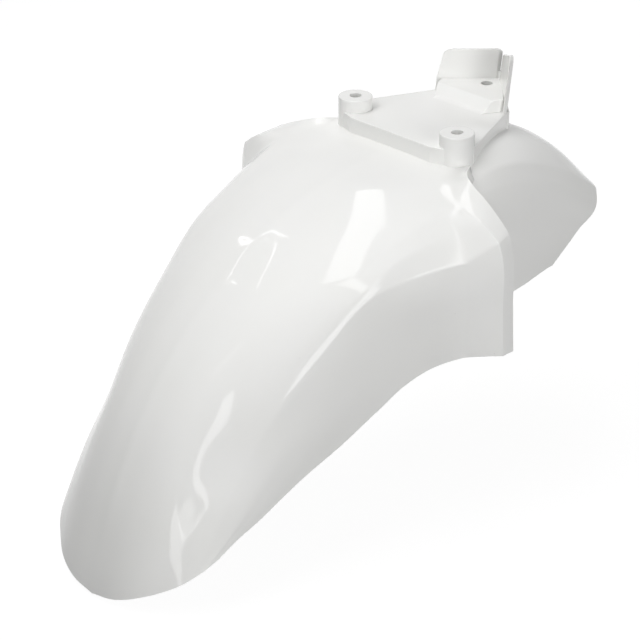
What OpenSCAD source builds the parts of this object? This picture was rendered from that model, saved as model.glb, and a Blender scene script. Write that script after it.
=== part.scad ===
/* [Arch] */
// Radius of the crown about the wheel axle, at the centre line
arc_r = 231; // [225:1:240]
// Width across the two side wings
wing_w = 210; // [196:1:224]
// Depth of the side wings below the crown, square to the arc
wing_depth = 89; // [80:1:96]
// Angle from the top of the wheel to the front tip
tip_angle = 81; // [76:0.5:86]
// Angle from the top of the wheel to the rear end
rear_angle = 34.5; // [32:0.5:38]
// Width of the rear part
rear_w = 132; // [124:1:136]
// Wall thickness of the moulding
wall = 2.6; // [2.2:0.1:3]
// Depth of the turned-in lip behind the side wings
lip = 7; // [5:0.5:9]

/* [Mounting neck] */
// Distance between the two front bosses
boss_gap = 80; // [76:1:84]
// Distance from the front bosses back to the rear hole
rear_hole_back = 69; // [67:1:71]
// Outer diameter of a front boss
boss_d = 20; // [18:0.5:22]
// Diameter of the three bolt holes
bolt_d = 7; // [6:0.1:8]
// Height of the boss faces above the plate
boss_rise = 7.5; // [6:0.5:9]
// Distance from the front bosses forward to the front wall
neck_front = 13; // [11.5:0.5:14]

/* [Rear fins] */
// Height of the left fin above the boss faces
fin_rise = 18; // [12:1:26]
// Extra height of the right fin
fin_step = 7; // [0:1:10]
// Lean of the fins towards the rear, in degrees
fin_lean = 9; // [0:1:14]
// Half width of the neck where the fins start
fin_half_w = 27; // [25:0.5:29]
// Width of the slot between the fins
slot_w = 2.8; // [2:0.1:4]
// Height of the web that closes the foot of the slot
web_rise = 8; // [4:0.5:11]

/* [Mesh] */
// Steps between two stations along the arch
steps_along = 3; // [2:1:4]
// Steps between two lines across the arch
steps_across = 2; // [1:1:3]

/* [Hidden] */
$fn = 64;

axle_y = -11.5;
axle_z = -248;
shell_white = [0.94, 0.94, 0.93];

// Sizes at which the design points below were laid out
base_half_w = 105;
base_depth = 89;
base_tip = 81;
base_rear_half_w = 66;
base_rear_angle = 34.5;
kx = wing_w / 2 / base_half_w;
kd = wing_depth / base_depth;
ka = tip_angle / base_tip;
kxr = rear_w / 2 / base_rear_half_w;
kar = rear_angle / base_rear_angle;
// Angles about the top of the wheel inside which nothing moves with the tip or the rear end
neck_angle = 1.5;
rear_from = 8;

// Lines along the front part, from the centre line (0) to the lower edge (8):
// line 3 is the shoulder, line 5 the character line and line 8 the lower edge.
// Each design point is [half width, angle ahead of the axle, depth below the crown].
front_at = [1, 4.5, 9.5, 16.5, 25, 35, 46, 56, 65.5, 73, 81];
line_at = [0, 25, 48, 64, 72, 80, 88, 112, 140];
front_points = [
    [[0, -3.4, -1.5], [26, -3.4, -1.5], [49, -3.2, -0.5], [65, 1.1, 0.5], [83.5, 2, 8.5],
     [98.5, 2.5, 19.3], [101.5, 2.5, 29.5], [101.8, 2.4, 61.5], [101.3, 2, 92.3]],
    [[0, 5, 0.5], [26, 5, 1.3], [48, 5, 2.9], [70, 5.2, 7.2], [88, 5.4, 11.3],
     [101, 5.4, 20], [103.8, 5.5, 28.5], [104, 6, 59.7], [104, 6.7, 89.3]],
    [[0, 12, 0], [26, 10.7, 1], [49, 8.6, 4.6], [68, 7.6, 8.4], [79.5, 8, 17.5],
     [89.5, 9.3, 29.8], [90.5, 9.8, 40.5], [90.3, 11, 64], [89, 12.6, 88]],
    [[0, 17.5, 0], [25, 17, 1.7], [46.5, 16.3, 5.8], [62.8, 16.2, 11.6], [71.3, 16.3, 17.4],
     [79, 17, 27.3], [81.2, 17.4, 35], [81, 18, 63], [79.5, 18.3, 88.5]],
    [[0, 25, 0], [24, 25, 2], [45, 25, 7.2], [60.5, 25, 13.8], [67.5, 24.9, 18.5],
     [71.2, 24.8, 23.3], [73, 25, 32], [75, 25.5, 61], [75, 26, 87]],
    [[0, 35, 0], [23, 35, 2], [42.5, 35, 8], [56, 35, 16.7], [61.3, 35, 21.7],
     [65.6, 35, 27.7], [68.3, 35, 35.5], [71.5, 35, 59], [71.5, 35, 86.5]],
    [[0, 46, 0], [21.5, 46, 2.4], [38.5, 46, 8.7], [50.8, 46, 17.6], [56.1, 46, 23],
     [60.8, 46, 29.2], [63.8, 46, 37.5], [68.3, 46, 55.5], [68.6, 46, 79.5]],
    [[0, 56, 0], [20, 56, 2.2], [35.5, 56, 8.5], [46, 56, 17.5], [51.5, 56, 23],
     [57, 55.9, 29], [61.2, 55.8, 35.8], [65.3, 55.6, 49.5], [66.3, 55.3, 65.3]],
    [[0, 65.5, 0], [19.5, 65.5, 2], [35, 65.3, 7.7], [45.5, 65, 15.8], [51.5, 64.8, 20.8],
     [56.6, 64.6, 26], [60.2, 64.3, 31.8], [63.2, 64, 39.5], [64.3, 63.6, 48.5]],
    [[0, 73.5, -0.8], [19, 73.3, 0.6], [34.2, 72.5, 5.3], [45, 71.5, 11.8], [50.7, 70.8, 16.3],
     [55.4, 70.1, 21], [58.7, 69.3, 26], [61, 68.6, 31.3], [62.2, 67.9, 36.5]],
    [[0, 81.5, -3.2], [17.5, 80.7, -2.4], [32.5, 79.1, 1.8], [43, 77.5, 8], [49, 76.3, 12],
     [53.5, 75, 16], [56.7, 73.7, 20], [59, 72.3, 24.3], [60.5, 71, 28.5]]
];
// How sharply the surface folds at each station and along each line, 0 soft and 1 sharp
station_fold = [0, 0.85, 0.7, 0.1, 0, 0, 0, 0, 0, 0, 0];
station_share = [0.6, 0.6, 0.6, 0.9, 1, 1, 1, 1, 1];
shoulder_fold = [[0, 0], [3, 0.2], [5, 0.5], [12, 0.3], [22, 0.2], [30, 0]];
facet_fold = [[0, 0], [9, 0.1], [13, 0.5], [20, 0.5], [27, 0]];
character_fold = [[0, 0.2], [4, 0.8], [20, 0.8], [26, 0.6], [40, 0.3], [60, 0.15], [75, 0]];

// Lines along the rear part: line 3 is its shoulder and line 6 its lower edge.
rear_at = [-1, 8, 20, 33];
rear_line_at = [0, 25, 45, 57, 64, 85, 112];
rear_points = [
    [[0, 3, -5], [25, 3, -4], [45, 1.5, 1], [57, -1.2, 7], [62.5, -1.2, 14],
     [65, -1.2, 41], [66, -1.2, 80]],
    [[0, 8, -8], [25, 8, -7.5], [45, 8, -4], [57, 8, 2], [62.5, 8, 12],
     [65.5, 8, 41], [66.5, 7, 79.5]],
    [[0, 22, -9.5], [25, 22, -9], [45, 21, -3.8], [57, 20, 4.5], [62.5, 19.5, 13],
     [65.5, 18, 41], [66, 15.5, 74]],
    [[0, 34.5, 3], [25, 34, 3], [45, 33, 6], [57.5, 31.6, 10], [64, 30.8, 18],
     [65.7, 28, 37], [64.5, 24.5, 61]]
];
rear_shoulder_fold = 0.6;

corner_r = 4;
fin_taper = 1.5;
nose_in = 9;
plate_z = -boss_rise;
// Level inside the wheel space, where the neck and the bosses are cut off again
under_z = -45;
// Height of the cutter that opens the shell under the neck
neck_cut_h = 50;
// Depth of the boss blanks and of the bolt holes below the boss tops
boss_deep = 25;
bolt_deep = 40;
// Length by which a cutting solid runs past the face that it cuts
over = 1;
plate_t = 3;
neck_cut_r = arc_r - 1;
pad_slope = 5;
pad_y = rear_hole_back - 18;
pad_half_w = fin_half_w * 0.67;
fin_y = rear_hole_back - 12.5;
apex_y = rear_hole_back + 12.5;

function unit(v) = v / norm(v);

// Value at x on a line through [x, value] pairs
function along(pairs, x) = lookup(x, pairs);

// Slope of the curve at knot i, seen from the piece that starts at knot s
function chord(at, p, s) = (p[s + 1] - p[s]) / (at[s + 1] - at[s]);
function slope(at, p, fold, i, s) =
    i == 0 || i == len(at) - 1 ? chord(at, p, s) :
    let(
        before = at[i] - at[i - 1],
        after = at[i + 1] - at[i],
        soft = (chord(at, p, i - 1) * after + chord(at, p, i) * before) / (before + after)
    )
    soft * (1 - fold[i]) + chord(at, p, s) * fold[i];

// Point of a smooth curve through the points p, set at the knots at
function curve(at, p, fold, s, f) =
    let(
        h = at[s + 1] - at[s],
        a = slope(at, p, fold, s, s) * h,
        b = slope(at, p, fold, s + 1, s) * h,
        f2 = f * f,
        f3 = f2 * f
    )
    p[s] * (2 * f3 - 3 * f2 + 1) + a * (f3 - 2 * f2 + f) + p[s + 1] * (3 * f2 - 2 * f3) + b * (f3 - f2);

function column(table, i) = [for (row = table) row[i]];
function folds(base, share) = [for (f = base) f * share];

// Place of a design point [half width, angle ahead, depth] about the axle
function placed(q) =
    let(r = arc_r - q[2])
    [q[0], axle_y - r * sin(q[1]), axle_z + r * cos(q[1])];

function front_scaled(q) = [q[0] * kx, q[1] < neck_angle ? q[1] : q[1] * ka, q[2] * kd];
function rear_scaled(q) = [q[0] * kxr, -q[1] * (q[1] > rear_from ? kar : 1), q[2]];

// All steps of a curve with the given knots, as [piece, fraction]
function steps(at, n) = concat(
    [for (s = [0 : len(at) - 2]) for (i = [0 : n - 1]) [s, i / n]],
    [[len(at) - 2, 1]]
);
function value_at(at, st) = at[st[0]] + (at[st[0] + 1] - at[st[0]]) * st[1];

// One half section of the front part
function front_section(st) =
    let(
        t = value_at(front_at, st),
        line_fold = [
            0, 0, 0, along(shoulder_fold, t), along(facet_fold, t), along(character_fold, t), 0, 0, 0
        ],
        knots = [
            for (i = [0 : len(line_at) - 1])
                placed(front_scaled(
                    curve(front_at, column(front_points, i),
                        folds(station_fold, station_share[i]), st[0], st[1])
                ))
        ]
    )
    [for (sp = steps(line_at, steps_across)) curve(line_at, knots, line_fold, sp[0], sp[1])];

// One half section of the rear part
function rear_section(st) =
    let(
        line_fold = [0, 0, 0, rear_shoulder_fold, 0, 0, 0],
        knots = [
            for (i = [0 : len(rear_line_at) - 1])
                placed(rear_scaled(
                    curve(rear_at, column(rear_points, i),
                        [for (a = rear_at) 0], st[0], st[1])
                ))
        ]
    )
    [for (sp = steps(rear_line_at, steps_across))
        curve(rear_line_at, knots, line_fold, sp[0], sp[1])];

function flip(p) = [-p[0], p[1], p[2]];
function full(half) = concat(
    [for (i = [len(half) - 1 : -1 : 1]) flip(half[i])],
    half
);

// Direction square to the surface at row i, column j
function square_to(g, i, j) =
    let(
        last_i = len(g) - 1,
        last_j = len(g[0]) - 1,
        a = g[min(i + 1, last_i)][j] - g[max(i - 1, 0)][j],
        b = g[i][min(j + 1, last_j)] - g[i][max(j - 1, 0)]
    )
    unit(cross(b, a));

// The same grid moved by a distance to its underside; facing is 1 or -1
function moved_in(g, distance, facing) = [
    for (i = [0 : len(g) - 1])
        [for (j = [0 : len(g[0]) - 1]) g[i][j] - facing * distance * square_to(g, i, j)]
];

// Closed wall between two grids of points
module wall_between(outside, inside, turned) {
    rows = len(outside);
    cols = len(outside[0]);
    half = rows * cols;
    points = concat(
        [for (row = outside) for (p = row) p],
        [for (row = inside) for (p = row) p]
    );
    function at(side, i, j) = side * half + i * cols + j;
    function pair(a, b, c, d) = turned ? [[a, c, b], [a, d, c]] : [[a, b, c], [a, c, d]];
    faces = [
        for (i = [0 : rows - 2]) for (j = [0 : cols - 2])
            each pair(at(0, i, j), at(0, i + 1, j), at(0, i + 1, j + 1), at(0, i, j + 1)),
        for (i = [0 : rows - 2]) for (j = [0 : cols - 2])
            each pair(at(1, i, j), at(1, i, j + 1), at(1, i + 1, j + 1), at(1, i + 1, j)),
        for (i = [0 : rows - 2])
            each pair(at(0, i, 0), at(1, i, 0), at(1, i + 1, 0), at(0, i + 1, 0)),
        for (i = [0 : rows - 2])
            each pair(at(0, i, cols - 1), at(0, i + 1, cols - 1),
                at(1, i + 1, cols - 1), at(1, i, cols - 1)),
        for (j = [0 : cols - 2])
            each pair(at(0, 0, j), at(0, 0, j + 1), at(1, 0, j + 1), at(1, 0, j)),
        for (j = [0 : cols - 2])
            each pair(at(0, rows - 1, j), at(1, rows - 1, j),
                at(1, rows - 1, j + 1), at(0, rows - 1, j + 1))
    ];
    polyhedron(points = points, faces = faces, convexity = 10);
}

// Front part with its two side wings and the lip turned in behind them
module front_part() {
    outside = [for (st = steps(front_at, steps_along)) full(front_section(st))];
    inside = moved_in(outside, wall, -1);
    cols = len(outside[0]);
    lip_out = moved_in(outside, lip, -1)[0];
    forward = [for (j = [0 : cols - 1]) wall * unit(outside[1][j] - outside[0][j])];
    lip_in = [for (j = [0 : cols - 1]) lip_out[j] + forward[j]];
    corner_in = [for (j = [0 : cols - 1]) inside[0][j] + forward[j]];
    wall_between(
        concat([lip_out], outside),
        concat([lip_in], [corner_in], [for (i = [1 : len(inside) - 1]) inside[i]]),
        true
    );
}

// Rear part behind the fork legs
module rear_part() {
    outside = [for (st = steps(rear_at, steps_along)) full(rear_section(st))];
    wall_between(outside, moved_in(outside, wall, 1), false);
}

// Plan of the neck, drawn in by a wall thickness for its hollow
module neck_plan(inset) {
    half_gap = boss_gap / 2;
    reach = boss_d / 2 - inset;
    side = [
        [half_gap - nose_in, -neck_front + inset],
        [half_gap, -reach],
        [half_gap + reach - 0.5, boss_d / 5],
        [fin_half_w - inset, fin_y - inset],
        [fin_half_w - inset, fin_y + wall - inset],
    ];
    polygon(concat(
        side,
        [[0, apex_y + wall - inset * 1.4]],
        [for (i = [len(side) - 1 : -1 : 0]) [-side[i][0], side[i][1]]]
    ));
}

// Plan of the raised pad around the rear hole, in front of the fins
module pad_plan(inset) {
    polygon([
        [-pad_half_w + inset, pad_y - pad_slope - 1], [pad_half_w - inset, pad_y - pad_slope - 1],
        [fin_half_w - wall - inset, fin_y], [0, apex_y - inset], [-fin_half_w + wall + inset, fin_y]
    ]);
}

// Side view of the pad with its sloped front, as a block down to z_low
module pad_side(drop, z_low) {
    rotate([90, 0, 90])
        linear_extrude(height = wing_w, center = true)
            polygon([
                [pad_y - pad_slope, z_low],
                [pad_y - pad_slope, plate_z - drop],
                [pad_y, -drop],
                [apex_y + 2 * wall, -drop],
                [apex_y + 2 * wall, z_low],
            ]);
}

// Plate and pad as one block from their tops, less a drop, down to z_low
module neck_block(inset, drop, z_low) {
    translate([0, 0, z_low])
        linear_extrude(height = plate_z - drop - z_low)
            neck_plan(inset);
    intersection() {
        translate([0, 0, z_low])
            linear_extrude(height = -z_low + 1)
                pad_plan(inset);
        pad_side(drop, z_low);
    }
}

// Cylinder about the axle that trims the foot of the neck to the arch
module wheel_space() {
    translate([0, axle_y, axle_z])
        rotate([0, 90, 0])
            cylinder(r = neck_cut_r, h = wing_w + 20, center = true, $fn = 240);
}

// Two fins that meet in a V behind the rear hole and lean back, with a slot between them
module fins() {
    foot = -plate_t + 1;
    inner = apex_y - fin_y;
    tall = fin_rise + fin_step + 1;
    translate([0, fin_y, 0])
        rotate([-fin_lean, 0, 0])
            difference() {
                intersection() {
                    translate([0, 0, foot])
                        linear_extrude(height = tall - foot)
                            fin_plan(inner);
                    rotate([90, 0, 0])
                        linear_extrude(height = 4 * inner, center = true)
                            fin_profile(foot);
                }
                translate([-slot_w / 2, 0, -foot])
                    cube([slot_w, inner + wall * 0.4, tall]);
                translate([-slot_w / 2, 0, web_rise])
                    cube([slot_w, inner + 2 * wall, tall]);
            }
}

// Plan of the fins, from their outer ends at y = 0 back to the slot
module fin_plan(inner) {
    polygon([
        [fin_half_w, 0], [fin_half_w, wall * 0.6],
        [0, inner + wall], [-fin_half_w, wall * 0.6],
        [-fin_half_w, 0], [-fin_half_w + 2, -wall / 2],
        [0, inner - wall * 0.8], [fin_half_w - 2, -wall / 2]
    ]);
}

// Front view of the two fins: rounded outer corners and a top that climbs to the right
module fin_profile(foot) {
    outer = fin_half_w - fin_taper;
    low_top = fin_rise - corner_r;
    high_top = fin_rise + fin_step - corner_r;
    polygon(concat(
        [[fin_half_w, foot], [fin_half_w, 0]],
        [for (a = [0 : 15 : 90]) [outer - corner_r + corner_r * cos(a), high_top + corner_r * sin(a)]],
        [for (a = [90 : 15 : 180]) [-outer + corner_r + corner_r * cos(a), low_top + corner_r * sin(a)]],
        [[-fin_half_w, 0], [-fin_half_w, foot]]
    ));
}

module bosses() {
    for (side = [-1, 1])
        translate([side * boss_gap / 2, 0, -boss_deep])
            cylinder(d = boss_d, h = boss_deep);
}

module bolt_holes() {
    for (at = [[-boss_gap / 2, 0], [boss_gap / 2, 0], [0, rear_hole_back]])
        translate([at[0], at[1], -bolt_deep])
            cylinder(d = bolt_d, h = bolt_deep + boss_rise);
}

// The whole moulding
module mudguard() {
    color(shell_white)
        difference() {
            union() {
                difference() {
                    union() {
                        front_part();
                        rear_part();
                    }
                    translate([0, 0, under_z])
                        linear_extrude(height = neck_cut_h)
                            neck_plan(wall);
                }
                difference() {
                    union() {
                        difference() {
                            neck_block(0, 0, under_z);
                            neck_block(wall, plate_t, under_z - over);
                        }
                        bosses();
                        fins();
                    }
                    wheel_space();
                }
            }
            bolt_holes();
        }
}

mudguard();
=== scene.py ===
"""White moulded scooter mudguard on a studio floor, laid out as an add-on and run as a script."""

import math

import bmesh
import bpy
import numpy as np
from mathutils import Matrix, Vector


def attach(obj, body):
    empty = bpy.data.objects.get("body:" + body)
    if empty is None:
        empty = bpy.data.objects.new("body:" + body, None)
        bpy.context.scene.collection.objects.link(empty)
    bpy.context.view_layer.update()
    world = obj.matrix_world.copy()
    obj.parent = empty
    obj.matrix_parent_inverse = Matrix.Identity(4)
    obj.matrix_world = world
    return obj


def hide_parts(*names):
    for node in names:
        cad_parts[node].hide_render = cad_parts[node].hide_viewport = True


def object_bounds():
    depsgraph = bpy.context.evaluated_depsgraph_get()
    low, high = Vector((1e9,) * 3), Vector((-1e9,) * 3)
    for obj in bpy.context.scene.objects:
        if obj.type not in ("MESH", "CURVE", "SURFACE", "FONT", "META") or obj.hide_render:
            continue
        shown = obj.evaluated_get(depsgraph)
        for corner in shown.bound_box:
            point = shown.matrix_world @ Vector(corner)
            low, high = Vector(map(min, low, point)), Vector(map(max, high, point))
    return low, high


bl_info = {
    "name": "Scooter Mudguard",
    "version": (1, 0, 0),
    "blender": (4, 5, 0),
    "location": "View3D > Sidebar > Mudguard",
    "description": "Builds a moulded scooter mudguard with its finish and studio",
    "category": "Add Mesh",
}

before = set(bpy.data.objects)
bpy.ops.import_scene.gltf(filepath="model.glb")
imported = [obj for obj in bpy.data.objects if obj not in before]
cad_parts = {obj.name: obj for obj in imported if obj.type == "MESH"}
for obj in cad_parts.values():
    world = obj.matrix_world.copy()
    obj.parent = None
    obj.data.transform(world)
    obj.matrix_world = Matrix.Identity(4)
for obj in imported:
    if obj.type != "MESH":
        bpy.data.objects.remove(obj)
CAD_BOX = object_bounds()
MM = 0.001

# Wheel axle in the part's frame, in millimetres
AXLE_Y = -11.5
AXLE_Z = -248.0

# Front part. Lines run from the centre (0) to the lower edge (8): 3 is the shoulder and 5 the
# character line. Each design point is half width, angle ahead of the axle, depth below the crown.
FRONT_AT = [1, 4.5, 9.5, 16.5, 25, 35, 46, 56, 65.5, 73, 81]
LINE_AT = [0, 25, 48, 64, 72, 80, 88, 112, 140]
FRONT_POINTS = [
    [[0, -3.4, -1.5], [26, -3.4, -1.5], [49, -3.2, -0.5], [65, 1.1, 0.5], [83.5, 2, 8.5],
     [98.5, 2.5, 19.3], [101.5, 2.5, 29.5], [101.8, 2.4, 61.5], [101.3, 2, 92.3]],
    [[0, 5, 0.5], [26, 5, 1.3], [48, 5, 2.9], [70, 5.2, 7.2], [88, 5.4, 11.3],
     [101, 5.4, 20], [103.8, 5.5, 28.5], [104, 6, 59.7], [104, 6.7, 89.3]],
    [[0, 12, 0], [26, 10.7, 1], [49, 8.6, 4.6], [68, 7.6, 8.4], [79.5, 8, 17.5],
     [89.5, 9.3, 29.8], [90.5, 9.8, 40.5], [90.3, 11, 64], [89, 12.6, 88]],
    [[0, 17.5, 0], [25, 17, 1.7], [46.5, 16.3, 5.8], [62.8, 16.2, 11.6], [71.3, 16.3, 17.4],
     [79, 17, 27.3], [81.2, 17.4, 35], [81, 18, 63], [79.5, 18.3, 88.5]],
    [[0, 25, 0], [24, 25, 2], [45, 25, 7.2], [60.5, 25, 13.8], [67.5, 24.9, 18.5],
     [71.2, 24.8, 23.3], [73, 25, 32], [75, 25.5, 61], [75, 26, 87]],
    [[0, 35, 0], [23, 35, 2], [42.5, 35, 8], [56, 35, 16.7], [61.3, 35, 21.7],
     [65.6, 35, 27.7], [68.3, 35, 35.5], [71.5, 35, 59], [71.5, 35, 86.5]],
    [[0, 46, 0], [21.5, 46, 2.4], [38.5, 46, 8.7], [50.8, 46, 17.6], [56.1, 46, 23],
     [60.8, 46, 29.2], [63.8, 46, 37.5], [68.3, 46, 55.5], [68.6, 46, 79.5]],
    [[0, 56, 0], [20, 56, 2.2], [35.5, 56, 8.5], [46, 56, 17.5], [51.5, 56, 23],
     [57, 55.9, 29], [61.2, 55.8, 35.8], [65.3, 55.6, 49.5], [66.3, 55.3, 65.3]],
    [[0, 65.5, 0], [19.5, 65.5, 2], [35, 65.3, 7.1], [45.5, 65, 14.8], [51.5, 64.8, 19.8],
     [56.6, 64.6, 25.1], [60.2, 64.3, 31], [63.2, 64, 39.5], [64.3, 63.6, 48.5]],
    [[0, 73.5, -0.8], [19, 73.3, 0.6], [34.2, 72.5, 5.3], [45, 71.5, 11.8], [50.7, 70.8, 16.3],
     [55.4, 70.1, 21], [58.7, 69.3, 26], [61, 68.6, 31.3], [62.2, 67.9, 36.5]],
    [[0, 81.5, -3.2], [17.5, 80.7, -2.4], [32.5, 79.1, 1.8], [43, 77.5, 8], [49, 76.3, 12],
     [53.5, 75, 16], [56.7, 73.7, 20], [59, 72.3, 24.3], [60.5, 71, 28.5]],
]

# Folds: 0 runs smoothly through a point and 1 creases there. Those of the stations are shared out
# over the lines; those of the lines are pairs of angle ahead of the axle and fold.
STATION_FOLD = [0, 0.85, 0.7, 0.1, 0, 0, 0, 0, 0, 0, 0]
STATION_SHARE = [0.6, 0.6, 0.6, 0.9, 1, 1, 1, 1, 1]
SHOULDER_FOLD = [(0, 0), (3, 0.3), (5, 0.8), (12, 0.85), (20, 0.6), (30, 0)]
FACET_FOLD = [(0, 0), (9, 0.1), (13, 0.5), (20, 0.5), (27, 0)]
CHARACTER_FOLD = [(0, 0.2), (4, 0.8), (20, 0.8), (26, 0.6), (40, 0.3), (60, 0.15), (75, 0)]

# Rear part. Line 3 is its shoulder and line 6 its lower edge.
REAR_AT = [-1, 8, 20, 33]
REAR_LINE_AT = [0, 25, 45, 57, 64, 85, 112]
REAR_POINTS = [
    [[0, 3, -5], [25, 3, -4], [45, 1.5, 1], [57, -1.2, 7], [62.5, -1.2, 14],
     [65, -1.2, 41], [66, -1.2, 80]],
    [[0, 8, -8], [25, 8, -7.5], [45, 8, -4], [57, 8, 2], [62.5, 8, 12],
     [65.5, 8, 41], [66.5, 7, 79.5]],
    [[0, 22, -9.5], [25, 22, -9], [45, 21, -3.8], [57, 20, 4.5], [62.5, 19.5, 13],
     [65.5, 18, 41], [66, 15.5, 74]],
    [[0, 34.5, 3], [25, 34, 3], [45, 33, 6], [57.5, 31.6, 10], [64, 30.8, 18],
     [65.7, 28, 37], [64.5, 24.5, 61]],
]
REAR_SHOULDER_FOLD = 0.6

# Steps of the mesh between two stations and between two lines
FRONT_STEPS = 12
REAR_STEPS = 16
LINE_STEPS = 8

# Neck, in millimetres
V_REACH = 12.5  # from the rear hole to each end of the V of fins
FRONT_CORNER_IN = 9  # from a boss in to the front corner
SIDE_CORNER_IN = 0.5  # from a boss's rim in to the side corner
SIDE_CORNER_BACK = 4  # from a boss back to the side corner
TIP_DRAW = 1.4  # how far the hollow's tip draws in for each millimetre of its sides
NECK_LOW = -45  # foot of the block before the wheel's circle trims it
HOLLOW_TOP = 5
PLATE_THICK = 3
PAD_REACH = 18  # from the rear hole forward to the top of the pad's step
PAD_SHARE = 0.67  # width of the pad's front against that of the fins
STEP_LENGTH = 8
STEP_PROFILE = [(0.7, 0.85), (0.25, 0.15)]  # an S: shares of the step's length and of its fall
TRIM = 1  # how far the wheel's circle stays inside the crown
BOSS_LOW = -25
HOLE_LOW, HOLE_HIGH = -60, 10
WIDE = 130  # half width of blocks that reach past the whole part

# Fins, in millimetres
FIN_OUTER_R = 4.0
FIN_INNER_R = 2.5
FIN_SET_IN = 1.5  # from the neck's edge in to the fin's
RIGHT_INNER_SHARE, LEFT_INNER_SHARE = 0.2, 0.45  # part of the fin step that the inner corners get
FIN_AHEAD, FIN_BEHIND = -2.0, 1.6  # faces of a fin about its middle
FIN_EDGE_SHARE = 0.7  # a fin's edges against the moulding's
WEB_AHEAD, WEB_BEHIND = 2, 1  # faces of the web about the V's tip
OVERLAP = 1  # how far blocks reach into each other

# Angles between faces, in degrees, above which an edge is rounded, or shaded as sharp
ROUND_ANGLE = 30
SHARP_ANGLE = 32

# Studio, in metres and in brightness against white
FLOOR_GAP = 0.002
FLOOR_RADIUS = 6
FLOOR_GLOW = 1.08
FLOOR_GLOW_SHARE = 0.87  # the rest of the floor takes the shadow
DOME_LIGHT = 0.03
PLAIN_LIGHT = 1.0
SENSOR_MM = 36
CAMERA_REACH = 50


class MudguardSizes(bpy.types.PropertyGroup):
    """Sizes of the moulding"""

    arc_r: bpy.props.FloatProperty(
        name="Crown radius", description="Radius of the crown about the wheel axle",
        default=0.231, unit="LENGTH")
    wall: bpy.props.FloatProperty(
        name="Wall", description="Wall thickness of the moulding", default=0.0026, unit="LENGTH")
    lip: bpy.props.FloatProperty(
        name="Lip", description="Depth of the turned-in lip behind the side wings",
        default=0.007, unit="LENGTH")
    boss_gap: bpy.props.FloatProperty(
        name="Boss spacing", description="Distance between the two front bosses",
        default=0.080, unit="LENGTH")
    rear_hole_back: bpy.props.FloatProperty(
        name="Rear hole", description="Distance from the front bosses back to the rear hole",
        default=0.069, unit="LENGTH")
    boss_d: bpy.props.FloatProperty(
        name="Boss diameter", description="Outer diameter of a front boss",
        default=0.020, unit="LENGTH")
    bolt_d: bpy.props.FloatProperty(
        name="Bolt hole", description="Diameter of the three bolt holes",
        default=0.007, unit="LENGTH")
    boss_rise: bpy.props.FloatProperty(
        name="Boss rise", description="Height of the boss faces above the plate",
        default=0.0075, unit="LENGTH")
    neck_front: bpy.props.FloatProperty(
        name="Neck front", description="Distance from the bosses forward to the front wall",
        default=0.013, unit="LENGTH")
    fin_rise: bpy.props.FloatProperty(
        name="Fin height", description="Height of the left fin above the boss faces",
        default=0.018, unit="LENGTH")
    fin_step: bpy.props.FloatProperty(
        name="Fin step", description="Extra height of the right fin",
        default=0.007, unit="LENGTH")
    fin_lean: bpy.props.FloatProperty(
        name="Fin lean", description="Lean of the fins towards the rear",
        default=math.radians(9), subtype="ANGLE")
    fin_half_w: bpy.props.FloatProperty(
        name="Fin half width", description="Half width of the neck where the fins start",
        default=0.027, unit="LENGTH")
    slot_w: bpy.props.FloatProperty(
        name="Slot", description="Width of the slot between the fins",
        default=0.0028, unit="LENGTH")
    web_rise: bpy.props.FloatProperty(
        name="Web", description="Height of the web that closes the foot of the slot",
        default=0.008, unit="LENGTH")
    edge_r: bpy.props.FloatProperty(
        name="Edge radius", description="Radius on the moulding's outer edges",
        default=0.0008, unit="LENGTH")


class MudguardFinish(bpy.types.PropertyGroup):
    """Colours and gloss of the moulding"""

    shell_hex: bpy.props.StringProperty(
        name="Shell colour", description="White of the moulded ABS, as sRGB hex",
        default="F2F2F1")
    flow_hex: bpy.props.StringProperty(
        name="Flow colour", description="White where the melt flowed longest, as sRGB hex",
        default="F0F0ED")
    dust_hex: bpy.props.StringProperty(
        name="Dust colour", description="Grey of the dust grains, as sRGB hex", default="B9B8B2")
    gloss: bpy.props.FloatProperty(
        name="Roughness", description="Roughness of the polished mould face",
        default=0.035, min=0.0, max=1.0, subtype="FACTOR")


class MudguardStage(bpy.types.PropertyGroup):
    """Camera, floor and lights"""

    azimuth: bpy.props.FloatProperty(
        name="Azimuth", description="Camera direction about the vertical",
        default=math.radians(45.47), subtype="ANGLE")
    elevation: bpy.props.FloatProperty(
        name="Elevation", description="Camera height above the horizon",
        default=math.radians(26.27), subtype="ANGLE")
    distance: bpy.props.FloatProperty(
        name="Distance", description="Camera distance from its target",
        default=1.4286, unit="LENGTH")
    target: bpy.props.FloatVectorProperty(
        name="Target", description="Point at the middle of the picture",
        default=(0.0, -0.06822, -0.10759), subtype="TRANSLATION")
    view_span: bpy.props.FloatProperty(
        name="View width", description="Width seen at the target",
        default=0.36571, unit="LENGTH")
    floor_hex: bpy.props.StringProperty(
        name="Floor colour", description="Colour that the studio floor shows, as sRGB hex",
        default="FAFAFA")
    bounce_hex: bpy.props.StringProperty(
        name="Floor bounce", description="Colour in which the floor throws light back, as sRGB hex",
        default="7C7C7C")


def linear_colour(hex_code):
    """Linear RGBA of an sRGB hex colour."""
    parts = [int(hex_code[i:i + 2], 16) / 255 for i in (0, 2, 4)]
    linear = [c / 12.92 if c <= 0.04045 else ((c + 0.055) / 1.055) ** 2.4 for c in parts]
    return (*linear, 1.0)


def chord(at, points, piece):
    """Straight slope of one piece of a curve."""
    return (points[piece + 1] - points[piece]) / (at[piece + 1] - at[piece])


def slope(at, points, fold, knot, piece):
    """Slope at a knot, seen from one of the pieces that meet there."""
    if knot in (0, len(at) - 1):
        return chord(at, points, piece)
    before = at[knot] - at[knot - 1]
    after = at[knot + 1] - at[knot]
    soft = chord(at, points, knot - 1) * after + chord(at, points, knot) * before
    soft = soft / (before + after)
    return soft * (1 - fold[knot]) + chord(at, points, piece) * fold[knot]


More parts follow.
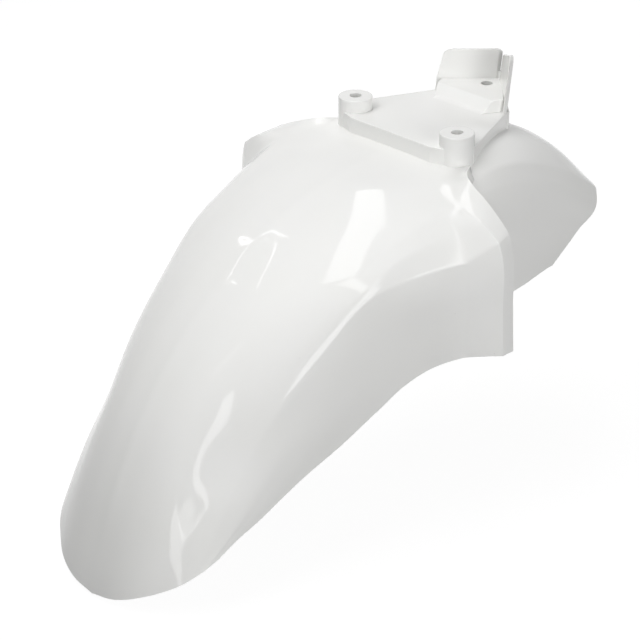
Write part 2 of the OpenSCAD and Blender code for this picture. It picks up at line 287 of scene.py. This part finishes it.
def curve(at, points, fold, piece, f):
    """Point of a smooth curve through points, at fraction f of one piece."""
    span = at[piece + 1] - at[piece]
    a = slope(at, points, fold, piece, piece) * span
    b = slope(at, points, fold, piece + 1, piece) * span
    start = points[piece] * (2 * f**3 - 3 * f**2 + 1) + a * (f**3 - 2 * f**2 + f)
    return start + points[piece + 1] * (3 * f**2 - 2 * f**3) + b * (f**3 - f**2)


def steps(at, count):
    """All steps of a curve with the given knots, as (piece, fraction)."""
    inside = [(piece, i / count) for piece in range(len(at) - 1) for i in range(count)]
    return inside + [(len(at) - 2, 1.0)]


def placed(design, arc_r):
    """Place of a design point about the axle, in millimetres."""
    r = arc_r - design[2]
    angle = math.radians(design[1])
    return np.array([design[0], AXLE_Y - r * math.sin(angle), AXLE_Z + r * math.cos(angle)])


def section_rows(at, points, line_at, station_fold, share, line_fold, side, arc_r, along, across):
    """Rows of points of one half of a lofted wall; side is 1 ahead of the axle and -1 behind."""
    table = np.array(points, float)
    rows = []
    for piece, f in steps(at, along):
        station = at[piece] + (at[piece + 1] - at[piece]) * f
        knots = []
        for i in range(len(line_at)):
            fold = [v * share[i] for v in station_fold]
            design = curve(at, table[:, i], fold, piece, f)
            knots.append(placed((design[0], design[1] * side, design[2]), arc_r))
        fold = line_fold(station)
        rows.append([curve(line_at, knots, fold, p, g) for p, g in steps(line_at, across)])
    return np.array(rows)


def front_fold(station):
    """Fold of each front line at a station."""
    shoulder = np.interp(station, *zip(*SHOULDER_FOLD))
    facet = np.interp(station, *zip(*FACET_FOLD))
    character = np.interp(station, *zip(*CHARACTER_FOLD))
    return [0, 0, 0, shoulder, facet, character, 0, 0, 0]


def rear_fold(station):
    """Fold of each rear line, the same at every station."""
    return [0, 0, 0, REAR_SHOULDER_FOLD, 0, 0, 0]


def full_width(rows):
    """Both halves of a grid, from -X to +X."""
    left = rows[:, :0:-1].copy()
    left[:, :, 0] *= -1
    return np.concatenate([left, rows], axis=1)


def outward(grid, facing):
    """Unit directions square to a grid."""
    along = np.gradient(grid, axis=0)
    across = np.gradient(grid, axis=1)
    normal = np.cross(across, along) * facing
    return normal / np.linalg.norm(normal, axis=2, keepdims=True)


def new_object(name, bm):
    """Object from a mesh in the making, its faces turned outward."""
    bmesh.ops.recalc_face_normals(bm, faces=bm.faces)
    mesh = bpy.data.meshes.new(name)
    bm.to_mesh(mesh)
    bm.free()
    obj = bpy.data.objects.new(name, mesh)
    bpy.context.scene.collection.objects.link(obj)
    return obj


def wall_object(name, outside, inside):
    """Closed wall between two grids of points, in metres."""
    bm = bmesh.new()
    rows, cols = outside.shape[:2]
    skins = []
    for grid in (outside, inside):
        skins.append([[bm.verts.new(p * MM) for p in row] for row in grid])
    for skin in skins:
        for i in range(rows - 1):
            for j in range(cols - 1):
                bm.faces.new((skin[i][j], skin[i][j + 1], skin[i + 1][j + 1], skin[i + 1][j]))
    rim = [(0, j) for j in range(cols)] + [(i, cols - 1) for i in range(1, rows)]
    rim += [(rows - 1, j) for j in range(cols - 2, -1, -1)]
    rim += [(i, 0) for i in range(rows - 2, 0, -1)]
    for (i, j), (k, m) in zip(rim, rim[1:] + rim[:1]):
        bm.faces.new((skins[0][i][j], skins[0][k][m], skins[1][k][m], skins[1][i][j]))
    return new_object(name, bm)


def apply_modifiers(obj):
    """Bakes an object's modifiers into its mesh."""
    graph = bpy.context.evaluated_depsgraph_get()
    mesh = bpy.data.meshes.new_from_object(obj.evaluated_get(graph))
    old = obj.data
    obj.modifiers.clear()
    obj.data = mesh
    bpy.data.meshes.remove(old)


def combine(obj, other, operation):
    """Joins, cuts or crosses obj with other, which is used up."""
    modifier = obj.modifiers.new("Combine", "BOOLEAN")
    modifier.solver = "MANIFOLD"
    modifier.operation = operation
    modifier.object = other
    apply_modifiers(obj)
    bpy.data.objects.remove(other)
    return obj


def prism(name, outline, low, high):
    """Upright block over an outline, in millimetres."""
    bm = bmesh.new()
    bottom = [bm.verts.new((x * MM, y * MM, low * MM)) for x, y in outline]
    top = [bm.verts.new((x * MM, y * MM, high * MM)) for x, y in outline]
    bm.faces.new(list(reversed(bottom)))
    bm.faces.new(top)
    for i in range(len(outline)):
        j = (i + 1) % len(outline)
        bm.faces.new((bottom[i], bottom[j], top[j], top[i]))
    return new_object(name, bm)


def round_edges(obj, radius):
    """Rounds the sharp edges of a block."""
    modifier = obj.modifiers.new("Edges", "BEVEL")
    modifier.width = radius
    modifier.segments = 3
    modifier.limit_method = "ANGLE"
    modifier.angle_limit = math.radians(ROUND_ANGLE)
    apply_modifiers(obj)


def circle(x, y, radius, sides):
    """Points of a circle."""
    turn = [2 * math.pi * i / sides for i in range(sides)]
    return [(x + radius * math.cos(a), y + radius * math.sin(a)) for a in turn]


def drum(name, x, y, radius, low, high):
    """Upright cylinder, in millimetres."""
    return prism(name, circle(x, y, radius, 96), low, high)


def neck_outline(sizes, inset):
    """Plan of the neck, drawn in by a wall for its hollow, in millimetres."""
    half_gap = sizes.boss_gap / MM / 2
    reach = sizes.boss_d / MM / 2 - inset
    front = sizes.neck_front / MM
    fin = sizes.fin_half_w / MM - inset
    wall = sizes.wall / MM
    fin_y = sizes.rear_hole_back / MM - V_REACH
    apex_y = sizes.rear_hole_back / MM + V_REACH
    side = [
        (half_gap - FRONT_CORNER_IN, -front + inset),
        (half_gap, -reach),
        (half_gap + reach - SIDE_CORNER_IN, SIDE_CORNER_BACK),
        (fin, fin_y - inset),
        (fin, fin_y + wall - inset),
    ]
    tip = (0, apex_y + wall - inset * TIP_DRAW)
    return side + [tip] + [(-x, y) for x, y in reversed(side)]


def build_shell(sizes):
    """The arch with its side wings, lip and rear part."""
    wall = sizes.wall / MM
    lip = sizes.lip / MM
    arc_r = sizes.arc_r / MM
    half = section_rows(FRONT_AT, FRONT_POINTS, LINE_AT, STATION_FOLD, STATION_SHARE, front_fold,
                        1, arc_r, FRONT_STEPS, LINE_STEPS)
    outside = full_width(half)
    normal = outward(outside, -1)
    inside = outside - normal * wall
    forward = outside[1] - outside[0]
    forward *= wall / np.linalg.norm(forward, axis=1, keepdims=True)
    lip_out = outside[0] - normal[0] * lip
    skip = 1 + int(np.ceil(wall / np.linalg.norm(outside[1] - outside[0], axis=1).min()))
    inner_rows = inside.copy()
    start = inside[0] + forward
    for i in range(skip + 1):
        inner_rows[i] = start + (inside[skip + 1] - inside[0] - forward) * i / (skip + 1)
    shell = wall_object(
        "front_part",
        np.concatenate([[lip_out], outside]),
        np.concatenate([[lip_out + forward], inner_rows]),
    )
    half = section_rows(REAR_AT, REAR_POINTS, REAR_LINE_AT, [0] * 4, [0] * 7, rear_fold,
                        -1, arc_r, REAR_STEPS, LINE_STEPS)
    outside = full_width(half)
    rear = wall_object("rear_part", outside, outside - outward(outside, 1) * wall)
    combine(shell, rear, "UNION")
    combine(shell, prism("hollow", neck_outline(sizes, wall), NECK_LOW, HOLLOW_TOP), "DIFFERENCE")
    return shell


# Turn an upright block so that its outline is seen from the side, or from the front
TO_SIDE = Matrix(((0, 0, 1, 0), (1, 0, 0, 0), (0, 1, 0, 0), (0, 0, 0, 1)))
TO_FRONT = Matrix(((1, 0, 0, 0), (0, 0, 1, 0), (0, 1, 0, 0), (0, 0, 0, 1)))


def neck_solid(sizes, inset, drop, low):
    """Plate and pad as one block from their tops, less a drop, down to low."""
    wall = sizes.wall / MM
    fin = sizes.fin_half_w / MM
    pad = fin * PAD_SHARE
    fin_y = sizes.rear_hole_back / MM - V_REACH
    apex_y = sizes.rear_hole_back / MM + V_REACH
    pad_y = sizes.rear_hole_back / MM - PAD_REACH
    step_y = pad_y - STEP_LENGTH
    plate_z = -sizes.boss_rise / MM
    block = prism("neck", neck_outline(sizes, inset), low, plate_z - drop)
    outline = [
        (-pad + inset, step_y - OVERLAP), (pad - inset, step_y - OVERLAP),
        (fin - wall - inset, fin_y), (0, apex_y - inset), (-fin + wall + inset, fin_y),
    ]
    raised = prism("pad", outline, low + 0.5, OVERLAP)
    side = [(step_y, low), (step_y, plate_z - drop)]
    side += [(pad_y - STEP_LENGTH * run, plate_z * fall - drop) for run, fall in STEP_PROFILE]
    side += [(pad_y, -drop), (apex_y + 2 * wall, -drop), (apex_y + 2 * wall, low)]
    profile = prism("profile", side, -WIDE, WIDE)
    profile.data.transform(TO_SIDE)
    combine(raised, profile, "INTERSECT")
    return combine(block, raised, "UNION")


def build_neck(sizes):
    """Plate, pad and side walls of the neck."""
    neck = neck_solid(sizes, 0, 0, NECK_LOW)
    round_edges(neck, sizes.edge_r)
    hollow = neck_solid(sizes, sizes.wall / MM, PLATE_THICK, NECK_LOW - OVERLAP)
    return combine(neck, hollow, "DIFFERENCE")


def fin_outline(sizes, side, foot):
    """Front view of one fin with rounded top corners and a top that climbs to the right."""
    fin = sizes.fin_half_w / MM
    slot = sizes.slot_w / MM / 2
    low = sizes.fin_rise / MM
    outer = fin - FIN_SET_IN - FIN_OUTER_R
    inner = slot + FIN_INNER_R
    outer_top = low + sizes.fin_step / MM if side > 0 else low
    inner_share = RIGHT_INNER_SHARE if side > 0 else LEFT_INNER_SHARE
    inner_top = low + sizes.fin_step / MM * inner_share
    points = [(slot, foot), (fin, foot), (fin, 0)]
    turn = [math.radians(a) for a in range(0, 91, 15)]
    for a in turn:
        drop = FIN_OUTER_R * (1 - math.sin(a))
        points.append((outer + FIN_OUTER_R * math.cos(a), outer_top - drop))
    for a in turn:
        drop = FIN_INNER_R * (1 - math.cos(a))
        points.append((inner - FIN_INNER_R * math.sin(a), inner_top - drop))
    return [(x * side, z) for x, z in points][::side]


def build_fins(sizes):
    """Two flat fins set in a V that leans back, joined by a low web at the slot."""
    foot = -sizes.boss_rise / MM - OVERLAP
    fin = sizes.fin_half_w / MM
    fin_y = sizes.rear_hole_back / MM - V_REACH
    depth = 2 * V_REACH
    web = sizes.slot_w / MM / 2 + OVERLAP
    ahead, behind = depth - WEB_AHEAD, depth + WEB_BEHIND
    fins = prism("web", [(-web, ahead), (web, ahead), (web, behind), (-web, behind)],
                 foot, sizes.web_rise / MM)
    for side in (-1, 1):
        panel = prism("fin", fin_outline(sizes, side, foot), FIN_AHEAD, FIN_BEHIND)
        panel.data.transform(TO_FRONT)
        round_edges(panel, sizes.edge_r * FIN_EDGE_SHARE)
        swing = Matrix.Identity(4)
        swing[1][0] = -side * depth / fin
        swing[1][3] = depth * MM
        panel.data.transform(swing)
        combine(fins, panel, "UNION")
    lean = Matrix.Rotation(-sizes.fin_lean, 4, "X")
    fins.data.transform(Matrix.Translation((0, fin_y * MM, 0)) @ lean)
    return fins


def build_boss(sizes, side):
    """Round boss with a softened rim, its face at height zero."""
    boss = drum("boss", side * sizes.boss_gap / MM / 2, 0, sizes.boss_d / MM / 2, BOSS_LOW, 0)
    round_edges(boss, sizes.edge_r)
    return boss


def build_wheel_space(sizes):
    """Round block about the axle that trims the foot of the neck."""
    outline = circle(AXLE_Y, AXLE_Z, sizes.arc_r / MM - TRIM, 360)
    space = prism("wheel_space", outline, -WIDE, WIDE)
    space.data.transform(TO_SIDE)
    return space


def shade_by_angle(obj, degrees):
    """Smooth shading except across sharp edges, with wide faces kept flat."""
    mesh = obj.data
    mesh.shade_smooth()
    bm = bmesh.new()
    bm.from_mesh(mesh)
    limit = math.radians(degrees)
    for edge in bm.edges:
        edge.smooth = len(edge.link_faces) != 2 or edge.calc_face_angle() < limit
    bm.to_mesh(mesh)
    bm.free()
    weighted = obj.modifiers.new("Flat faces", "WEIGHTED_NORMAL")
    weighted.keep_sharp = True
    apply_modifiers(obj)


def add_node(tree, kind, settings=None, links=None):
    """Adds a node, sets its attributes or inputs, and links its inputs."""
    node = tree.nodes.new(kind)
    for key, value in (settings or {}).items():
        if isinstance(key, str) and hasattr(node, key):
            setattr(node, key, value)
        else:
            node.inputs[key].default_value = value
    for key, source in (links or {}).items():
        tree.links.new(source, node.inputs[key])
    return node


def repeats(size):
    """Pattern scale for marks of a real size, in millimetres."""
    return 1 / (size * MM)


def moulded_abs(finish):
    """Glossy white ABS, injection moulded in a polished mould: a clean white body under a sharp
    reflection, with the faint long waviness that cooling leaves in the skin."""
    material = bpy.data.materials.new("glossy_moulded_abs")
    material.use_nodes = True
    tree = material.node_tree
    shader = tree.nodes["Principled BSDF"]
    shader.inputs["IOR"].default_value = 1.53
    place = add_node(tree, "ShaderNodeTexCoord")
    # Sink waves about 25 mm long, a few micrometres deep
    wave = add_node(tree, "ShaderNodeTexNoise",
                    {"Scale": repeats(25), "Detail": 1.0, "Roughness": 0.4},
                    {"Vector": place.outputs["Object"]})
    bump = add_node(tree, "ShaderNodeBump", {"Strength": 0.35, "Distance": 0.00006},
                    {"Height": wave.outputs["Fac"]})
    # Handling haze: patches about 15 mm across where the polish is a little duller
    haze = add_node(tree, "ShaderNodeTexNoise",
                    {"Scale": repeats(15.385), "Detail": 4.0, "Roughness": 0.6},
                    {"Vector": place.outputs["Object"]})
    polish = add_node(tree, "ShaderNodeMapRange",
                      {"From Min": 0.35, "From Max": 0.7,
                       "To Min": finish.gloss, "To Max": finish.gloss + 0.03},
                      {"Value": haze.outputs["Fac"]})
    # Flow of the melt: the white drifts by about one level over 50 mm
    flow = add_node(tree, "ShaderNodeTexNoise", {"Scale": repeats(50), "Detail": 2.0},
                    {"Vector": place.outputs["Object"]})
    # Dust grains about half a millimetre across, one in each cell of 17 mm; the limits below are
    # radii of 0.17 and 0.37 mm against the cell
    dust = add_node(tree, "ShaderNodeTexVoronoi", {"Scale": repeats(16.667)},
                    {"Vector": place.outputs["Object"]})
    grain = add_node(tree, "ShaderNodeMapRange",
                     {"From Min": 0.010, "From Max": 0.022, "To Min": 0.35, "To Max": 0.0},
                     {"Value": dust.outputs["Distance"]})
    # Colour mixes: input 6 is the first colour, 7 the second, and output 2 the result
    body = add_node(tree, "ShaderNodeMix",
                    {"data_type": "RGBA", 6: linear_colour(finish.shell_hex),
                     7: linear_colour(finish.flow_hex)},
                    {0: flow.outputs["Fac"]})
    white = add_node(tree, "ShaderNodeMix",
                     {"data_type": "RGBA", 7: linear_colour(finish.dust_hex)},
                     {0: grain.outputs["Result"], 6: body.outputs[2]})
    tree.links.new(white.outputs[2], shader.inputs["Base Color"])
    tree.links.new(polish.outputs["Result"], shader.inputs["Roughness"])
    tree.links.new(bump.outputs["Normal"], shader.inputs["Normal"])
    return material


class MUDGUARD_OT_moulding(bpy.types.Operator):
    """Build the one-piece moulding and give it its finish"""

    bl_idname = "mudguard.moulding"
    bl_label = "Moulding"

    def execute(self, context):
        sizes = context.scene.mudguard_sizes
        shell = build_shell(sizes)
        neck = build_neck(sizes)
        combine(neck, build_fins(sizes), "UNION")
        for side in (-1, 1):
            combine(neck, build_boss(sizes, side), "UNION")
        combine(neck, build_wheel_space(sizes), "DIFFERENCE")
        combine(shell, neck, "UNION")
        half_gap = sizes.boss_gap / MM / 2
        for x, y in ((-half_gap, 0), (half_gap, 0), (0, sizes.rear_hole_back / MM)):
            hole = drum("hole", x, y, sizes.bolt_d / MM / 2, HOLE_LOW, HOLE_HIGH)
            combine(shell, hole, "DIFFERENCE")
        shell.name = "mudguard_moulding"
        shade_by_angle(shell, SHARP_ANGLE)
        # The joins leave an empty slot, which would take the place of the finish
        shell.data.materials.clear()
        shell.data.materials.append(moulded_abs(context.scene.mudguard_finish))
        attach(shell, "root")
        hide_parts("mudguard")
        return {"FINISHED"}


class MUDGUARD_OT_stage(bpy.types.Operator):
    """Set the floor, lights and camera"""

    bl_idname = "mudguard.stage"
    bl_label = "Stage"

    def execute(self, context):
        stage = context.scene.mudguard_stage
        build_floor(stage)
        build_world(context.scene)
        build_lights()
        build_camera(stage)
        context.scene.view_settings.view_transform = "Standard"
        return {"FINISHED"}


def seen_ray(tree):
    """One where the camera, a reflection or a refraction looks, zero where light is gathered."""
    path = add_node(tree, "ShaderNodeLightPath")
    seen = add_node(tree, "ShaderNodeMath", {"operation": "MAXIMUM"},
                    {0: path.outputs["Is Camera Ray"], 1: path.outputs["Is Glossy Ray"]})
    shown = add_node(tree, "ShaderNodeMath", {"operation": "MAXIMUM"},
                     {0: seen.outputs[0], 1: path.outputs["Is Transmission Ray"]})
    return shown.outputs[0]


def build_floor(stage):
    """Matt floor that shows white with a faint shadow and throws little light back up."""
    low = CAD_BOX[0][2] - FLOOR_GAP
    bm = bmesh.new()
    bmesh.ops.create_circle(bm, cap_ends=True, segments=96, radius=FLOOR_RADIUS)
    bmesh.ops.translate(bm, verts=bm.verts, vec=(0, 0, low))
    floor = new_object("studio_floor", bm)
    material = bpy.data.materials.new("matt_studio_floor")
    material.use_nodes = True
    tree = material.node_tree
    tree.nodes.clear()
    matt = add_node(tree, "ShaderNodeBsdfDiffuse", {"Color": linear_colour(stage.floor_hex)})
    white = add_node(tree, "ShaderNodeEmission", {"Color": (1, 1, 1, 1), "Strength": FLOOR_GLOW})
    view = add_node(tree, "ShaderNodeMixShader", {0: FLOOR_GLOW_SHARE},
                    {1: matt.outputs[0], 2: white.outputs[0]})
    grey = add_node(tree, "ShaderNodeBsdfDiffuse", {"Color": linear_colour(stage.bounce_hex)})
    mix = add_node(tree, "ShaderNodeMixShader", {},
                   {0: seen_ray(tree), 1: grey.outputs[0], 2: view.outputs[0]})
    add_node(tree, "ShaderNodeOutputMaterial", {}, {"Surface": mix.outputs[0]})
    floor.data.materials.append(material)


def build_world(scene):
    """Plain white for the camera and in reflections; the softboxes light the part."""
    world = bpy.data.worlds.new("studio")
    scene.world = world
    world.use_nodes = True
    tree = world.node_tree
    tree.nodes.clear()
    dome = add_node(tree, "ShaderNodeBackground",
                    {"Color": (1, 1, 1, 1), "Strength": DOME_LIGHT})
    plain = add_node(tree, "ShaderNodeBackground",
                     {"Color": (1, 1, 1, 1), "Strength": PLAIN_LIGHT})
    mix = add_node(tree, "ShaderNodeMixShader", {},
                   {0: seen_ray(tree), 1: dome.outputs[0], 2: plain.outputs[0]})
    add_node(tree, "ShaderNodeOutputWorld", {}, {"Surface": mix.outputs[0]})


# Point that every lamp is placed around, near the middle of the part
STUDIO_MIDDLE = Vector((0, -0.1, -0.06))

# Soft lamps: direction from the middle, distance and edge in metres, brightness against white.
# They only shade the part; the strips below are what its gloss mirrors.
SOFTBOXES = {
    "top_left_softbox": ((-0.34, 0.20, 0.92), 0.9, 0.5, 2.5),
    "front_left_softbox": ((-0.45, -0.35, 0.85), 0.9, 0.5, 2.3),
    "front_top_softbox": ((-0.05, -0.50, 0.86), 0.9, 0.5, 2.25),
    "side_softbox": ((0.92, -0.20, 0.18), 1.1, 0.5, 6.4),
    "front_softbox": ((-0.10, -0.85, 0.5), 1.1, 0.5, 1.8),
    "back_softbox": ((-0.60, 0.75, 0.25), 1.3, 0.5, 2.2),
}

# Strip lamps seen in the gloss: two ends from the middle and width, in metres, and brightness
# against white
STRIPS = {
    "overhead_strip": ((-1.03, 0.88, 1.54), (0.26, -0.32, 1.54), 0.23, 1.95),
    "overhead_foot": ((0.33, -0.35, 1.54), (1.06, -0.30, 1.25), 0.15, 2.0),
    "side_strip_upper": ((1.02, -0.10, 1.25), (1.35, -0.05, 0.95), 0.22, 1.8),
    "side_strip": ((1.40, -0.05, 0.95), (1.65, -0.40, 0.15), 0.34, 2.8),
    "front_strip_upper": ((0.73, -1.24, 0.86), (1.09, -1.20, 0.40), 0.09, 2.4),
    "front_strip_middle": ((1.09, -1.20, 0.40), (0.80, -1.48, 0.22), 0.04, 1.7),
    "front_strip_lower": ((0.80, -1.50, 0.28), (0.62, -1.58, 0.03), 0.16, 2.2),
    "window_bar_top": ((-0.93, 0.10, 1.41), (-1.25, 0.08, 1.10), 0.02, 4.0),
    "window_bar_left": ((-1.25, 0.08, 1.10), (-0.93, -0.39, 1.25), 0.022, 4.0),
    "window_bar_right": ((-0.93, 0.02, 1.36), (-0.62, -0.46, 1.43), 0.018, 3.4),
    "window_bar_low": ((0.08, -1.02, 1.26), (-0.11, -1.20, 1.11), 0.028, 3.4),
}


def link_lamp(name, width, height, radiance):
    """Rectangular area lamp whose face has the given radiance, where 1 is white."""
    lamp = bpy.data.lights.new(name, "AREA")
    lamp.shape = "RECTANGLE"
    lamp.size = width
    lamp.size_y = height
    lamp.energy = radiance * math.pi * width * height
    obj = bpy.data.objects.new(name, lamp)
    bpy.context.scene.collection.objects.link(obj)
    return obj


def aim(obj, target):
    """Turns a lamp or camera to look at a point."""
    direction = target - obj.location
    obj.rotation_euler = direction.to_track_quat("-Z", "Y").to_euler()


def add_softbox(name, direction, distance, edge, radiance):
    """Square lamp that looks at the middle and isn't seen in the gloss."""
    lamp = link_lamp(name, edge, edge, radiance)
    lamp.location = STUDIO_MIDDLE + Vector(direction).normalized() * distance
    aim(lamp, STUDIO_MIDDLE)
    lamp.visible_glossy = False


def add_strip(name, start, end, width, radiance):
    """Long narrow lamp between two points, turned about its length to face the part."""
    start, end = Vector(start), Vector(end)
    lamp = link_lamp(name, (end - start).length, width, radiance)
    along = (end - start).normalized()
    centre = (start + end) / 2
    back = (centre - along * centre.dot(along)).normalized()
    across = back.cross(along)
    turn = Matrix((along, across, back)).transposed().to_4x4()
    lamp.matrix_world = Matrix.Translation(STUDIO_MIDDLE + centre) @ turn


def build_lights():
    """All soft lamps and strips."""
    for name, (direction, distance, edge, radiance) in SOFTBOXES.items():
        add_softbox(name, direction, distance, edge, radiance)
    for name, (start, end, width, radiance) in STRIPS.items():
        add_strip(name, start, end, width, radiance)


def build_camera(stage):
    """Camera whose lens takes in the given width at its target."""
    data = bpy.data.cameras.new("camera")
    camera = bpy.data.objects.new("camera", data)
    bpy.context.scene.collection.objects.link(camera)
    back = Vector((
        math.sin(stage.azimuth) * math.cos(stage.elevation),
        -math.cos(stage.azimuth) * math.cos(stage.elevation),
        math.sin(stage.elevation),
    ))
    target = Vector(stage.target)
    camera.location = target + back * stage.distance
    aim(camera, target)
    data.sensor_width = SENSOR_MM
    data.lens = SENSOR_MM * stage.distance / stage.view_span
    data.clip_end = CAMERA_REACH
    bpy.context.scene.camera = camera


class MUDGUARD_PT_panel(bpy.types.Panel):
    """Mudguard tools in the sidebar"""

    bl_label = "Mudguard"
    bl_idname = "MUDGUARD_PT_panel"
    bl_space_type = "VIEW_3D"
    bl_region_type = "UI"
    bl_category = "Mudguard"

    def draw(self, context):
        scene = context.scene
        column = self.layout.column()
        for group in (scene.mudguard_sizes, scene.mudguard_finish, scene.mudguard_stage):
            for name in group.__annotations__:
                column.prop(group, name)
        column.operator("mudguard.moulding")
        column.operator("mudguard.stage")


CLASSES = (
    MudguardSizes,
    MudguardFinish,
    MudguardStage,
    MUDGUARD_OT_moulding,
    MUDGUARD_OT_stage,
    MUDGUARD_PT_panel,
)


def register():
    """Adds the classes and their settings to Blender."""
    for cls in CLASSES:
        bpy.utils.register_class(cls)
    bpy.types.Scene.mudguard_sizes = bpy.props.PointerProperty(type=MudguardSizes)
    bpy.types.Scene.mudguard_finish = bpy.props.PointerProperty(type=MudguardFinish)
    bpy.types.Scene.mudguard_stage = bpy.props.PointerProperty(type=MudguardStage)


def unregister():
    """Takes the settings and classes out again."""
    del bpy.types.Scene.mudguard_stage
    del bpy.types.Scene.mudguard_finish
    del bpy.types.Scene.mudguard_sizes
    for cls in reversed(CLASSES):
        bpy.utils.unregister_class(cls)


def main():
    """Builds the part and its stage."""
    register()
    bpy.ops.mudguard.moulding()
    bpy.ops.mudguard.stage()


if __name__ == "__main__":
    main()
